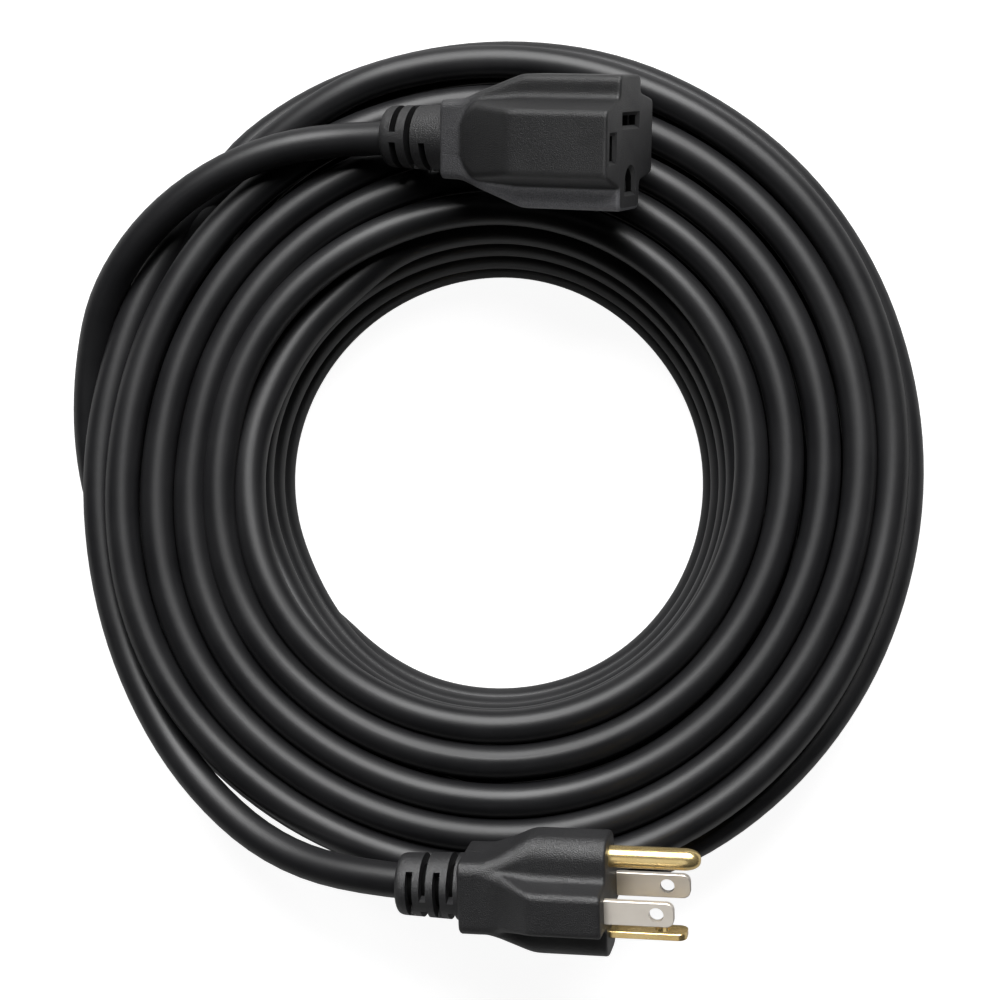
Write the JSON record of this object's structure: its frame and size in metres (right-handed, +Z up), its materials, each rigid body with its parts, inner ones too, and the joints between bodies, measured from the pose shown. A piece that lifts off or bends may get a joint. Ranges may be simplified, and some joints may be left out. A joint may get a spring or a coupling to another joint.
{
  "type": "shore power cord",
  "caption": "Heavy power cord wound into a flat ring, with a moulded plug of blades and a round pin at one end and a moulded connector at the other.",
  "frame": {"origin": "centre of the coiled cord's footprint, on the surface that it lies on", "axes": "+Z up out of the coil, +X the way the plug's blades point, +Y towards the connector's side"},
  "size_m": [0.2035, 0.2109, 0.0782],
  "materials": {
    "jacket": "satin",
    "moulding": "matt",
    "inner_plastic": "matt",
    "brass": "polished",
    "nickel": "satin",
    "copper": "bright bare copper",
    "wire_black": "satin",
    "wire_red": "satin",
    "wire_white": "satin",
    "wire_green": "satin"
  },
  "bodies": {
    "root": {"plug_overmould": "moulding", "plug_inner_bridge": "inner_plastic", "plug_strain_relief": "moulding", "plug_blade_neutral": "brass", "plug_blade_line_x": "nickel", "plug_blade_line_y": "nickel", "plug_ground_pin": "brass", "connector_overmould": "moulding", "connector_inner_body": "inner_plastic", "connector_strain_relief": "moulding", "connector_contact_neutral": "brass", "connector_contact_line_x": "brass", "connector_ground_sleeve": "brass", "plug_copper_ground": "copper", "plug_wire_ground": "wire_green", "plug_copper_neutral": "copper", "plug_wire_neutral": "wire_white", "plug_copper_line_x": "copper", "plug_wire_line_x": "wire_black", "plug_copper_line_y": "copper", "plug_wire_line_y": "wire_red", "connector_copper_ground": "copper", "connector_wire_ground": "wire_green", "connector_copper_neutral": "copper", "connector_wire_neutral": "wire_white", "connector_copper_line_x": "copper", "connector_wire_line_x": "wire_black", "cord_coil": "jacket", "cord_lead_plug": "jacket", "cord_lead_connector": "jacket"}
  },
  "joints": []
}
